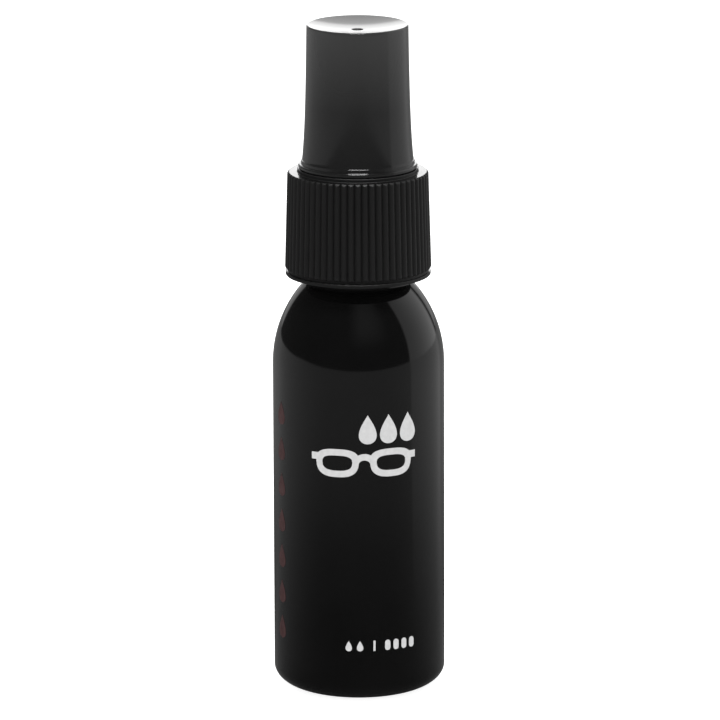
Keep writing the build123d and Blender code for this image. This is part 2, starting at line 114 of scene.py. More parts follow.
# ---------------------------------------------------------------- closure
RIM_R = 12.15 * MM
RIM_H = 0.6 * MM
RIM_EDGE = 0.18 * MM
GROOVE_R = 11.75 * MM
GROOVE_FALL = 0.05 * MM      # slope of the rim's upper face
GROOVE_TOP = 0.02 * MM       # gap between the groove's last row and the ribs
RIB_COUNT = 62
RIB_SAMPLES = 12             # mesh columns per rib
RIB_DEPTH = 0.42 * MM
RIB_FOOT_Z = 71.95 * MM
RIB_FOOT_R = 12.27 * MM
RIB_TOP_R = 11.8 * MM
RIB_OUTER_R = 12.37 * MM     # where the slanting cuts across the ribs' ends start
RIB_FOOT_CUT = 0.4 * MM
RIB_TOP_CUT = 0.9 * MM
RIB_TOP_IN = 0.3 * MM        # how far the upper cut comes in at the top face
PLATE_Z = 88.45 * MM
PLINTH_R = 10.1 * MM
PLINTH_Z = 89.07 * MM
BOSS_R = 8.0 * MM
BOSS_BORE_R = 6.75 * MM
LIP_BORE_R = 6.3 * MM
LIP_LOW_Z = 86.4 * MM
LIP_TOP_Z = 87.3 * MM
CLOSURE_BORE_R = 10.05 * MM
CLOSURE_THREAD_TOP = 2.2 * MM      # depth of the closure's threaded wall below the bottle's land
MOUTH_CUT = 0.4 * MM

# ---------------------------------------------------------------- overcap
CAP_TOP_R = 8.5 * MM
CAP_EDGE = 0.25 * MM
CAP_DRAFT = 0.27 * MM        # straight part of the wall's taper, top to foot
CAP_FLARE = 0.56 * MM        # extra radius at the foot, which dies away upwards
CAP_FLARE_RATE = 3.6
CAP_BEAD_H = 0.75 * MM
CAP_BEAD_EDGE = 0.25 * MM
CAP_STEP_R = 9.5 * MM        # low step between the bead and the wall
CAP_STEP_H = 0.65 * MM
CAP_STEP_ROOT = 0.08 * MM
CAP_WALL_ROOT = 0.05 * MM
CAP_WALL_ROWS = 48
CAP_DISH = 0.9 * MM
CAP_TOP_WALL = 1.1 * MM
CAP_BORE_R = 8.05 * MM
CAP_BORE_CUT = 0.3 * MM
CAP_INNER_TOP_R = 7.7 * MM
CAP_INNER_EDGE = 0.5 * MM
CAP_ROOF_CLEAR = 0.6 * MM    # from the closure's boss up to where the bore narrows
CAP_COLUMNS = 192
GATE_R = 1.0 * MM            # moulding gate dimple
GATE_DEPTH = 0.45 * MM
GATE_LOW_Z = CAP_TOP_Z - CAP_DISH - GATE_DEPTH
GATE_REACH = 0.05 * MM       # how far below its lowest point faces still count as the gate's

# ---------------------------------------------------------------- springs
RETURN_COIL = (2.0 * MM, 0.22 * MM, 6)       # mean radius, wire radius, open turns
PRELOAD_COIL = (2.55 * MM, 0.15 * MM, 3.5)
COIL_PITCH = 2.1             # of the wire's radius: rise of a closed end turn


# ================================================================ mesh tools
NEARLY_STRAIGHT = 0.02       # radians; a corner flatter than this is not rounded
SHARP_EDGE = math.radians(38)


def line(start, end, steps):
    """Points from start towards end, without the end point."""
    return [
        (start[0] + (end[0] - start[0]) * i / steps, start[1] + (end[1] - start[1]) * i / steps)
        for i in range(steps)
    ]


def arc(centre, radius_r, radius_z, start, end, steps):
    """Points of a circular or elliptic arc, angles in degrees, with both ends."""
    points = []
    for i in range(steps + 1):
        a = math.radians(start + (end - start) * i / steps)
        points.append((centre[0] + radius_r * math.cos(a), centre[1] + radius_z * math.sin(a)))
    return points


def rounded(corners, steps=5):
    """Open outline through (r, z, rounding) corners, each turned into an arc of that radius."""
    points = [corners[0][:2]]
    for before, corner, after in zip(corners, corners[1:], corners[2:]):
        here = Vector(corner[:2])
        back = (Vector(before[:2]) - here).normalized()
        ahead = (Vector(after[:2]) - here).normalized()
        radius = corner[2]
        half = math.acos(max(-1.0, min(1.0, back.dot(ahead)))) / 2
        if radius == 0 or half > math.pi / 2 - NEARLY_STRAIGHT:
            points.append(tuple(here))
            continue
        reach = radius / math.tan(half)
        middle = here + (back + ahead).normalized() * (radius / math.sin(half))
        first, last = here + back * reach - middle, here + ahead * reach - middle
        sweep = first.angle_signed(last)
        for i in range(steps + 1):
            a = -sweep * i / steps
            turned = Vector((
                first.x * math.cos(a) - first.y * math.sin(a),
                first.x * math.sin(a) + first.y * math.cos(a),
            ))
            points.append(tuple(middle + turned))
    points.append(corners[-1][:2])
    return points


def finish_mesh(name, bm):
    bmesh.ops.recalc_face_normals(bm, faces=bm.faces)
    mesh = bpy.data.meshes.new(name)
    bm.to_mesh(mesh)
    bm.free()
    mesh.shade_smooth()
    mesh.set_sharp_from_angle(angle=SHARP_EDGE)
    piece = bpy.data.objects.new(name, mesh)
    bpy.context.scene.collection.objects.link(piece)
    return piece


def lathe(name, outline, columns):
    """Turned solid from (r, z) rows, where r may also be a function of the angle round the axis.
    An outline that starts and ends on the axis is closed there; any other is a closed loop."""
    bm = bmesh.new()
    rings = []
    for r, z in outline:
        if not callable(r) and r < 1e-9:
            rings.append([bm.verts.new((0, 0, z))])
            continue
        ring = []
        for i in range(columns):
            a = 2 * math.pi * i / columns
            reach = r(a) if callable(r) else r
            ring.append(bm.verts.new((reach * math.cos(a), reach * math.sin(a), z)))
        rings.append(ring)
    pairs = list(zip(rings, rings[1:]))
    if len(rings[0]) > 1:
        pairs.append((rings[-1], rings[0]))
    for low, high in pairs:
        for i in range(columns):
            j = (i + 1) % columns
            corners = [low[i % len(low)], low[j % len(low)], high[j % len(high)], high[i % len(high)]]
            bm.faces.new(list(dict.fromkeys(corners)))
    return finish_mesh(name, bm)


def ridge(z, angle, low_z, halves):
    """Height of a helical ridge at a point, from 0 on the wall to 1 on its flat crest."""
    root_half, crest_half = halves
    turn = ((angle - THREAD_START) % (2 * math.pi)) / (2 * math.pi)
    height = 0.0
    for whole in range(math.ceil(TURNS) + 1):
        along = turn + whole
        if along > TURNS:
            break
        off = abs(z - low_z - along * PITCH)
        flank = min(1.0, max(0.0, (root_half - off) / (root_half - crest_half)))
        ends = min(1.0, along / THREAD_FADE, (TURNS - along) / THREAD_FADE)
        height = max(height, flank * ends)
    return height


def threaded(wall_r, crest_r, low_z, high_z, thread_z, halves):
    """Rows of a wall from low_z up to high_z with a helical ridge from wall_r to crest_r."""
    def at(z):
        return lambda a: wall_r + (crest_r - wall_r) * ridge(z, a, thread_z, halves)

    return [(at(z), z) for _, z in line((0, low_z), (0, high_z), THREAD_ROWS)]


def coil(name, low_z, high_z, mean_r, wire_r, turns, around=12, per_turn=40):
    """Compression spring with one closed turn at each end."""
    bm = bmesh.new()
    closed, total = 1.0, turns + 2.0
    span = high_z - low_z - 2 * wire_r
    rise = COIL_PITCH * wire_r
    rings = []
    for i in range(int(total * per_turn) + 1):
        t = i / per_turn
        if t < closed:
            z = rise * t
        elif t > total - closed:
            z = span - rise * (total - t)
        else:
            z = rise + (span - 2 * rise) * (t - closed) / (total - 2 * closed)
        a = 2 * math.pi * t
        ring = []
        for k in range(around):
            b = 2 * math.pi * k / around
            r = mean_r + wire_r * math.cos(b)
            height = low_z + wire_r + z + wire_r * math.sin(b)
            ring.append(bm.verts.new((r * math.cos(a), r * math.sin(a), height)))
        rings.append(ring)
    for low, high in zip(rings, rings[1:]):
        for k in range(around):
            n = (k + 1) % around
            bm.faces.new((low[k], low[n], high[n], high[k]))
    bm.faces.new(rings[0])
    bm.faces.new(rings[-1][::-1])
    return finish_mesh(name, bm)


# ================================================================ pieces
def shoulder(radius, end_r, steps):
    """Arc of the bottle's shoulder from the barrel up to where its radius has come in to end_r."""
    centre_r = BODY_R - SHOULDER_R
    end = math.degrees(math.acos((end_r - centre_r) / radius))
    return arc((centre_r, SHOULDER_Z), radius, radius, 0, end, steps)


def bottle():
    foot_r = BODY_R - CORNER_R
    dome_r = (STANDING_R**2 + PUSH_UP**2) / (2 * PUSH_UP)
    dome_half = math.degrees(math.asin(STANDING_R / dome_r))
    thread_foot = THREAD_LOW_Z - THREAD_BELOW
    thread_top = LAND_Z - THREAD_ABOVE

    outside = arc((0, PUSH_UP - dome_r), dome_r, dome_r, 90, 90 - dome_half, steps=10)
    outside += line((STANDING_R + STANDING_EDGE, 0), (foot_r, 0), steps=2)
    outside += arc((foot_r, CORNER_H), CORNER_R, CORNER_H, -90, 0, steps=18)[:-1]
    outside += line((BODY_R, CORNER_H), (BODY_R, SHOULDER_Z), steps=24)
    outside += shoulder(SHOULDER_R, THREAD_E, steps=36)
    neck_foot = outside.pop()
    neck = rounded([
        outside.pop() + (0,), neck_foot + (NECK_ROOT,), (THREAD_E, thread_foot - ROW_GAP, 0),
    ])
    neck += threaded(THREAD_E, THREAD_T, thread_foot, thread_top, THREAD_LOW_Z, NECK_RIDGE)
    neck += rounded([
        (THREAD_E, thread_top, 0), (THREAD_E, LAND_Z, LAND_EDGE), (BORE_R, LAND_Z, LAND_EDGE),
        (BORE_R, LAND_Z - BORE_ROW, 0),
    ])
    inside = shoulder(SHOULDER_R - WALL, BORE_R, steps=20)[::-1]
    inside += line((BODY_R - WALL, SHOULDER_Z), (BODY_R - WALL, CORNER_H), steps=6)[1:]
    inside += arc((foot_r, CORNER_H), CORNER_R - WALL, CORNER_H - WALL, 0, -90, steps=10)
    inside += arc((0, PUSH_UP + WALL - dome_r), dome_r, dome_r, 90 - dome_half, 90, steps=8)
    return lathe("bottle_shell", outside + neck + inside, BOTTLE_COLUMNS)


def ribs(z):
    """Outline of the ribbed skirt at one height, as a function of the angle."""
    crest = RIB_FOOT_R + (RIB_TOP_R - RIB_FOOT_R) * (z - RIB_FOOT_Z) / (PLATE_Z - RIB_FOOT_Z)
    foot_limit = GROOVE_R + (RIB_OUTER_R - GROOVE_R) * (z - RIB_FOOT_Z) / RIB_FOOT_CUT
    top_in = RIB_TOP_R - RIB_TOP_IN
    top_limit = top_in + (RIB_OUTER_R - top_in) * (PLATE_Z - z) / RIB_TOP_CUT

    def radius(angle):
        across = (angle * RIB_COUNT / (2 * math.pi)) % 1.0 - 0.5
        return min(crest - RIB_DEPTH * (2 * across) ** 2, foot_limit, top_limit)

    return radius


def closure():
    rim_top = SKIRT_Z + RIM_H
    skirt = rounded([
        (CLOSURE_BORE_R + MOUTH_CUT, SKIRT_Z, 0), (RIM_R, SKIRT_Z, RIM_EDGE), (RIM_R, rim_top, SOFT),
        (GROOVE_R, rim_top + GROOVE_FALL, FINE), (GROOVE_R, RIB_FOOT_Z - GROOVE_TOP, 0),
    ])
    foot_z, top_z = RIB_FOOT_Z + RIB_FOOT_CUT, PLATE_Z - RIB_TOP_CUT / 2
    heights = line((0, RIB_FOOT_Z), (0, foot_z), steps=6) + line((0, foot_z), (0, top_z), steps=12)
    heights += line((0, top_z), (0, PLATE_Z), steps=12) + [(0, PLATE_Z)]
    wall = [(ribs(z), z) for _, z in heights]
    top = rounded([
        (RIB_TOP_R - RIB_DEPTH - ROW_GAP, PLATE_Z, 0), (PLINTH_R, PLATE_Z, FINE),
        (PLINTH_R, PLINTH_Z, SOFT), (BOSS_R, PLINTH_Z, CRISP), (BOSS_R, BOSS_TOP_Z, BROAD),
        (BOSS_BORE_R, BOSS_TOP_Z, SOFT), (BOSS_BORE_R, LIP_TOP_Z, 0), (LIP_BORE_R, LIP_TOP_Z, CRISP),
        (LIP_BORE_R, LIP_LOW_Z, CRISP), (CLOSURE_BORE_R, LIP_LOW_Z, BROAD),
        (CLOSURE_BORE_R, LAND_Z - BORE_ROW, 0),
    ])
    thread_z = THREAD_LOW_Z - PITCH / 2
    thread_foot, thread_top = thread_z - MM, LAND_Z - CLOSURE_THREAD_TOP
    crest_r = THREAD_E + THREAD_GAP
    bore = threaded(CLOSURE_BORE_R, crest_r, thread_foot, thread_top, thread_z, CLOSURE_RIDGE)[::-1]
    bore += [(CLOSURE_BORE_R, thread_foot - ROW_GAP), (CLOSURE_BORE_R, SKIRT_Z + MOUTH_CUT)]
    return lathe("closure_shell", skirt + wall + top + bore, RIB_COUNT * RIB_SAMPLES)


def overcap():
    bead_z = CAP_FOOT_Z + CAP_BEAD_H
    flare_z = bead_z + CAP_STEP_H
    top_z = CAP_TOP_Z - CAP_EDGE
    rim_r = CAP_TOP_R - CAP_EDGE

    def wall_point(up):
        """Outside of the wall at a share of its height: draft plus a flare that dies away."""
        flare = CAP_FLARE * (math.exp(-CAP_FLARE_RATE * up) - math.exp(-CAP_FLARE_RATE))
        return (CAP_TOP_R + CAP_DRAFT * (1 - up) + flare, flare_z + (top_z - flare_z) * up)

    wall = [wall_point(i / CAP_WALL_ROWS) for i in range(1, CAP_WALL_ROWS)]
    dish_r = (rim_r**2 + CAP_DISH**2) / (2 * CAP_DISH)
    dish_half = math.degrees(math.asin(rim_r / dish_r))
    gate_half = math.degrees(math.asin(GATE_R / dish_r))
    dish_z = CAP_TOP_Z - CAP_DISH
    dish = arc((0, dish_z + dish_r), dish_r, dish_r, -90 + dish_half, -90 + gate_half, steps=30)
    dimple_r = (GATE_R**2 + GATE_DEPTH**2) / (2 * GATE_DEPTH)
    dimple_half = math.degrees(math.asin(GATE_R / dimple_r))
    gate = arc((0, GATE_LOW_Z + dimple_r), dimple_r, dimple_r, -90 + dimple_half, -90, steps=8)
    foot = rounded([
        (CAP_BORE_R, CAP_FOOT_Z + CAP_BORE_CUT, 0), (CAP_BORE_R + CAP_BORE_CUT, CAP_FOOT_Z, CRISP),
        (CAP_BEAD_R, CAP_FOOT_Z, CAP_BEAD_EDGE), (CAP_BEAD_R, bead_z, CAP_BEAD_EDGE),
        (CAP_STEP_R, bead_z, CAP_STEP_ROOT), (CAP_STEP_R, flare_z, FINE),
        wall_point(0) + (CAP_WALL_ROOT,), wall[0] + (0,),
    ])
    rim = rounded([
        (CAP_TOP_R, top_z - ROW_GAP, 0), (CAP_TOP_R, CAP_TOP_Z, CAP_EDGE), dish[0] + (CRISP,), dish[1] + (0,),
    ])
    inside = rounded([
        (0, dish_z - CAP_TOP_WALL, 0), (CAP_INNER_TOP_R, CAP_TOP_Z - CAP_TOP_WALL, CAP_INNER_EDGE),
        (CAP_BORE_R, BOSS_TOP_Z + CAP_ROOF_CLEAR, CAP_INNER_EDGE), (CAP_BORE_R, CAP_FOOT_Z + MM, 0),
    ])
    outer = foot + wall[1:] + rim[1:-1] + dish[1:-1] + gate
    return lathe("overcap_shell", outer[::-1] + inside[::-1], CAP_COLUMNS)


def springs():
    main = coil("return_spring_wire", RETURN_LOW.z, RETURN_HIGH.z, *RETURN_COIL)
    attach(main, "pump")
    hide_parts("return_spring")
    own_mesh(main)
    small = coil("precompression_spring_wire", PRELOAD_LOW.z, PRELOAD_HIGH.z, *PRELOAD_COIL)
    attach(small, "valve_rod")
    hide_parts("precompression_spring")
    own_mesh(small)
    return main, small


# ================================================================ printing
INK_LOW = 0.002 * MM         # the film's two faces above the barrel
INK_HIGH = 0.03 * MM
BAR_COLUMN = 0.6 * MM        # widest mesh column of a bar, so that it bends round the barrel
DROP_WIDTH = 0.6             # of a drop's height
DROP_SPREAD = 0.727          # largest value of the drop formula before it is scaled to that width
DROP_POINT = 1.3             # the larger, the longer and thinner a drop's tip
DROP_BELLY = 0.15            # of a drop's height: how far its mesh centre lies below the middle
LENS_TAPER = 0.07            # share by which a spectacle lens widens from its middle to its top


class Print:
    """Flat ink shapes in (u, v), u round the barrel from the front towards +X and v up, in metres."""

    def __init__(self):
        self.bm = bmesh.new()

    def grid(self, rows, closed=False):
        made = [[self.bm.verts.new((u, 0, v)) for u, v in row] for row in rows]
        for a, b in zip(made, made[1:]):
            count = len(a)
            for i in range(count if closed else count - 1):
                j = (i + 1) % count
                self.bm.faces.new((a[i], a[j], b[j], b[i]))
        return made

    def filled(self, outline, centre, rings=4):
        """Shape that is star-shaped about its centre."""
        rows = []
        for k in range(rings):
            share = 1 - k / rings
            rows.append([
                (centre[0] + (u - centre[0]) * share, centre[1] + (v - centre[1]) * share) for u, v in outline
            ])
        made = self.grid(rows, closed=True)
        middle = self.bm.verts.new((centre[0], 0, centre[1]))
        last = made[-1]
        for i in range(len(last)):
            self.bm.faces.new((last[i], last[(i + 1) % len(last)], middle))

    def bar(self, u0, u1, v0, v1):
        steps = max(1, math.ceil(abs(u1 - u0) / BAR_COLUMN))
        self.grid([
            [(u0 + (u1 - u0) * i / steps, v) for i in range(steps + 1)] for v in (v0, v1)
        ])

    def pill(self, centre, half_u, half_v):
        outline = []
        radius = min(half_u, half_v)
        for i in range(32):
            a = 2 * math.pi * (i + 0.5) / 32
            u = math.copysign(half_u - radius, math.cos(a)) + radius * math.cos(a)
            v = math.copysign(half_v - radius, math.sin(a)) + radius * math.sin(a)
            outline.append((centre[0] + u, centre[1] + v))
        self.filled(outline, centre)

    def drop(self, centre, height):
        """Water drop, tip up."""
        outline = []
        for i in range(48):
            t = 2 * math.pi * (i + 0.5) / 48
            u = math.sin(t) * math.sin(t / 2) ** DROP_POINT / DROP_SPREAD * DROP_WIDTH
            outline.append((centre[0] + u * height / 2, centre[1] + math.cos(t) * height / 2))
        self.filled(outline, (centre[0], centre[1] - height * DROP_BELLY))

    def frame(self, centre, half_u, half_v, stroke, squareness=2.8):
        """Outline of one spectacle lens: a rounded rectangle that is a little narrower below."""
        rows = []
        for inset in (0, 0.5 * stroke, stroke):
            row = []
            for i in range(72):
                t = 2 * math.pi * i / 72
                c, s = math.cos(t), math.sin(t)
                u = math.copysign(abs(c) ** (2 / squareness), c) * (half_u - inset)
                v = math.copysign(abs(s) ** (2 / squareness), s) * (half_v - inset)
                u *= 1 + LENS_TAPER * v / half_v
                row.append((centre[0] + u, centre[1] + v))
            rows.append(row)
        self.grid(rows, closed=True)

    def bridge(self, centre, half_u, rise, stroke):
        rows = []
        for side in (-0.5, 0.5):
            row = []
            for i in range(13):
                t = math.pi * i / 12
                u = -math.cos(t) * (half_u + side * stroke * 0.4)
                row.append((centre[0] + u, centre[1] + math.sin(t) * rise + side * stroke))
            rows.append(row)
        self.grid(rows)

    def wrapped(self, name):
        """Turns the flat shapes into a thin film on the barrel."""
        bm = self.bm
        flat = list(bm.faces)
        made = bmesh.ops.extrude_face_region(bm, geom=flat)["geom"]
        upper = {v for v in made if isinstance(v, bmesh.types.BMVert)}
        for vert in bm.verts:
            radius = BODY_R + (INK_HIGH if vert in upper else INK_LOW)
            angle = vert.co.x / BODY_R
            vert.co = (radius * math.sin(angle), -radius * math.cos(angle), vert.co.z)
        return finish_mesh(name, bm)


def degrees_round(angle):
    """Arc length on the barrel from the front to this many degrees round."""
    return math.radians(angle) * BODY_R


def front_print():
    """Spectacles below and three drops above, set against the right-hand side of the front."""
    art = Print()
    right, left = degrees_round(40.3), degrees_round(-32.8)
    low, high = 39.3 * MM, 44.1 * MM
    middle, half = (low + high) / 2, (high - low) / 2
    stroke, overlap = 1.1 * MM, 0.3 * MM
    temple, gap = 0.9 * MM, 1.9 * MM
    temple_low, temple_high = middle + 0.4 * MM, middle + 1.6 * MM
    lens_half = ((right - left) - 2 * temple - gap) / 4
    centre = (left + right) / 2
    for side in (-1, 1):
        art.frame((centre + side * (gap / 2 + lens_half), middle), lens_half, half, stroke)
        outer = centre + side * (gap / 2 + 2 * lens_half)
        ends = sorted((outer - side * overlap, outer + side * temple))
        art.bar(*ends, temple_low, temple_high)
    bridge_low, bridge_rise = middle + 0.2 * MM, 0.9 * MM
    art.bridge((centre, bridge_low), gap / 2 + overlap, bridge_rise, stroke)
    drop_low, drop_high, drops = 45.0 * MM, 50.0 * MM, 3
    height = drop_high - drop_low
    width = DROP_WIDTH * height
    step = (right - width) / (drops - 1)
    for i in range(drops):
        art.drop((right - width / 2 - step * i, (drop_low + drop_high) / 2), height)
    return art.wrapped("front_print")


def gauge_print():
    """Small row of marks near the foot: four short bars, an upright line and two drops."""
    art = Print()
    low, high = 9.3 * MM, 11.1 * MM
    middle = (low + high) / 2
    bar_w, bar_step, bars = 0.95 * MM, 1.5 * MM, 4
    line_w, line_gap = 0.35 * MM, 1.1 * MM
    drop_half, drop_gap, drop_step, drops = 0.6 * MM, 2.0 * MM, 1.9 * MM, 2
    u = degrees_round(39.0)
    for _ in range(bars):
        art.pill((u - bar_w / 2, middle), bar_w / 2, (high - low) / 2)
        u -= bar_step
    u -= line_gap
    art.bar(u - line_w, u, low, high)
    u -= drop_gap
    for _ in range(drops):
        art.drop((u - drop_half, middle), high - low)
        u -= drop_step
    return art.wrapped("gauge_print")


def side_print():
    """Column of dark red drops up the left-hand side."""
    art = Print()
    centre_u = degrees_round(-64)
    low, high, drops = 11.5 * MM, 48.5 * MM, 7
    drop_height = 4.0 * MM
    for i in range(drops):
        art.drop((centre_u, low + (high - low) * i / (drops - 1)), drop_height)
    return art.wrapped("side_print")


# ================================================================ materials
class Nodes:
    """Short calls for the nodes that both materials and lights are made of."""

    def __init__(self, tree):
        self.tree = tree

    def put(self, socket, value):
        """Links an output to the socket, or sets the socket's own value."""
        if isinstance(value, bpy.types.NodeSocket):
            self.tree.links.new(value, socket)
        else:
            socket.default_value = value

    def math(self, operation, first, second=0.0):
        node = self.tree.nodes.new("ShaderNodeMath")
        node.operation = operation
        self.put(node.inputs[0], first)
        self.put(node.inputs[1], second)
        return node.outputs["Value"]

    def ramp(self, value, low, high, low_out=0.0, high_out=1.0, kind="LINEAR"):
        """Goes from low_out, where value is low, to high_out, where it is high; low may be the larger."""
        node = self.tree.nodes.new("ShaderNodeMapRange")
        node.interpolation_type = kind
        self.put(node.inputs["Value"], value)
        for key, number in (("From Min", low), ("From Max", high), ("To Min", low_out), ("To Max", high_out)):
            node.inputs[key].default_value = number
        return node.outputs["Result"]

    def split(self, vector):
        node = self.tree.nodes.new("ShaderNodeSeparateXYZ")
        self.put(node.inputs[0], vector)
        return node.outputs


class Shader(Nodes):
    """Builds one node material."""

    def __init__(self, name):
        self.material = bpy.data.materials.new(name)
        self.material.use_nodes = True
        super().__init__(self.material.node_tree)
        self.surface = self.tree.nodes["Principled BSDF"]
        self.place = self.add("ShaderNodeTexCoord").outputs["Object"]

    def add(self, kind, **inputs):
        node = self.tree.nodes.new(kind)
        for key, value in inputs.items():
            self.put(node.inputs[key.replace("_", " ")], value)
        return node

    def stretched(self, scale):
        node = self.add("ShaderNodeMapping")
        self.put(node.inputs["Vector"], self.place)
        node.inputs["Scale"].default_value = scale
        return node.outputs["Vector"]

    def noise(self, scale, detail=4.0, vector=None):
        node = self.add("ShaderNodeTexNoise", Scale=scale, Detail=detail, Roughness=0.55)
        self.put(node.inputs["Vector"], vector or self.place)
        return node.outputs["Fac"]

    def mix(self, factor, first, second):
        node = self.tree.nodes.new("ShaderNodeMix")
        node.data_type = "RGBA"
        colours = [socket for socket in node.inputs if socket.type == "RGBA"]
        self.put(node.inputs["Factor"], factor)
        self.put(colours[0], first)
        self.put(colours[1], second)
        return next(socket for socket in node.outputs if socket.type == "RGBA")

    def bump(self, height, distance):
        node = self.add("ShaderNodeBump", Strength=1.0, Distance=distance, Height=height)
        return node.outputs["Normal"]

    def finish(self, colour, roughness, normal, **others):
        self.put(self.surface.inputs["Base Color"], colour)
        self.put(self.surface.inputs["Roughness"], roughness)
        self.put(self.surface.inputs["Normal"], normal)
        for key, value in others.items():
            self.put(self.surface.inputs[key.replace("_", " ")], value)
        return self.material


def grey(value, warmth=0.0):
    return (value * (1 + warmth), value, value * (1 - warmth), 1.0)


def moulded(name, dark, light, roughness, grain=0.006 * MM, grain_scale=2600.0, worn=0.0, faded_ink_and_painted_light=None,
            level=None, **others):
    """Moulded plastic: faint flow marks in the colour, fine grain, handling scuffs, paler worn edges.
    A height band (low z, high z, colour), if given, is painted light: the plastic is painted paler towards
    that colour between the heights, standing in for more light falling on the upper part.
    level, if given, is the roughness of the faces that look straight up."""
    s = Shader(name)
    flow = s.noise(60.0, vector=s.stretched((1, 1, 0.25)))
    colour = s.mix(s.ramp(flow, 0.35, 0.7), dark, light)
    # painted light: the colour pales with height, standing in for more light on the upper part
    if faded_ink_and_painted_light:
        colour = s.mix(s.ramp(s.split(s.place)["Z"], faded_ink_and_painted_light[0], faded_ink_and_painted_light[1]), colour, faded_ink_and_painted_light[2])
    if worn:
        edges = s.ramp(s.add("ShaderNodeNewGeometry").outputs["Pointiness"], 0.52, 0.6, 0.0, worn)
        rubbed = s.math("MULTIPLY", edges, s.ramp(s.noise(300.0), 0.4, 0.65))
        colour = s.mix(rubbed, colour, tuple(min(1.0, 6 * c) for c in light[:3]) + (1.0,))
    smears = s.ramp(s.noise(45.0, detail=3.0), 0.4, 0.75, 0.0, roughness * 0.35)
    scuffs = s.ramp(s.noise(900.0, vector=s.stretched((1, 1, 0.12))), 0.62, 0.8, 0.0, roughness * 0.3)
    rough = s.math("ADD", s.math("ADD", smears, scuffs), roughness)
    if level is not None:
        upward = s.split(s.add("ShaderNodeNewGeometry").outputs["Normal"])["Z"]
        rough = s.math("ADD", rough, s.ramp(upward, 0.9, 0.97, 0.0, level - roughness))
    normal = s.bump(s.noise(grain_scale, detail=2.0), grain)
    return s.finish(colour, rough, normal, **others)


def blown_gloss():
    """High-gloss blown bottle: slow waviness of the wall, fine dust, faint hand smears."""
    s = Shader("bottle_gloss")
    colour = s.mix(s.ramp(s.noise(50.0), 0.3, 0.7), grey(0.0016), grey(0.0026))
    smears = s.ramp(s.noise(38.0, detail=5.0), 0.45, 0.8, 0.0, 0.05)
    dust = s.ramp(s.noise(5200.0, detail=1.0), 0.74, 0.8, 0.0, 0.12)
    rough = s.math("ADD", s.math("ADD", smears, dust), 0.07)
    waves = s.noise(110.0, detail=1.0, vector=s.stretched((1, 1, 0.35)))
    normal = s.bump(waves, 0.012 * MM)
    return s.finish(colour, rough, normal)


def ink(name, colour, faded_ink_and_painted_light):
    """Screen-printed ink with slightly uneven cover."""
    s = Shader(name)
    cover = s.ramp(s.noise(1500.0, detail=5.0), 0.3, 0.75)
    speck = s.ramp(s.noise(6000.0, detail=1.0), 0.7, 0.78, 0.0, 0.25)
    tone = s.mix(speck, s.mix(cover, faded_ink_and_painted_light, colour), faded_ink_and_painted_light)
    normal = s.bump(s.noise(4200.0), 0.003 * MM)
    return s.finish(tone, s.ramp(s.noise(900.0), 0.3, 0.7, 0.42, 0.58), normal)


def metal(name, tone, roughness, drawn):
    """Stainless steel; drawn wire has fine lines along it."""
    s = Shader(name)
    lines = s.noise(9000.0, detail=2.0, vector=s.stretched((1, 1, 0.08) if drawn else (1, 1, 1)))
    rough = s.ramp(lines, 0.3, 0.7, roughness * 0.8, roughness * 1.3)
    colour = s.mix(s.ramp(lines, 0.4, 0.6), grey(tone * 0.9, 0.01), grey(tone, 0.01))
    return s.finish(colour, rough, s.bump(lines, 0.002 * MM), Metallic=1.0)


def dress(node_name, material):
    """Gives a carried-over CAD node its material."""
    mesh = frame["nodes"][node_name].data
    mesh.materials.clear()
    mesh.materials.append(material)


def dull_gate(cap_shell):
    """The broken-off moulding gate is matt, unlike the polished dish round it."""
    matt = moulded("gate_matt", grey(0.005), grey(0.008), 0.55, grain=0.01 * MM)
    cap_shell.data.materials.append(matt)
    for face in cap_shell.data.polygons:
        if face.center.xy.length < GATE_R and face.center.z > GATE_LOW_Z - GATE_REACH:
            face.material_index = 1


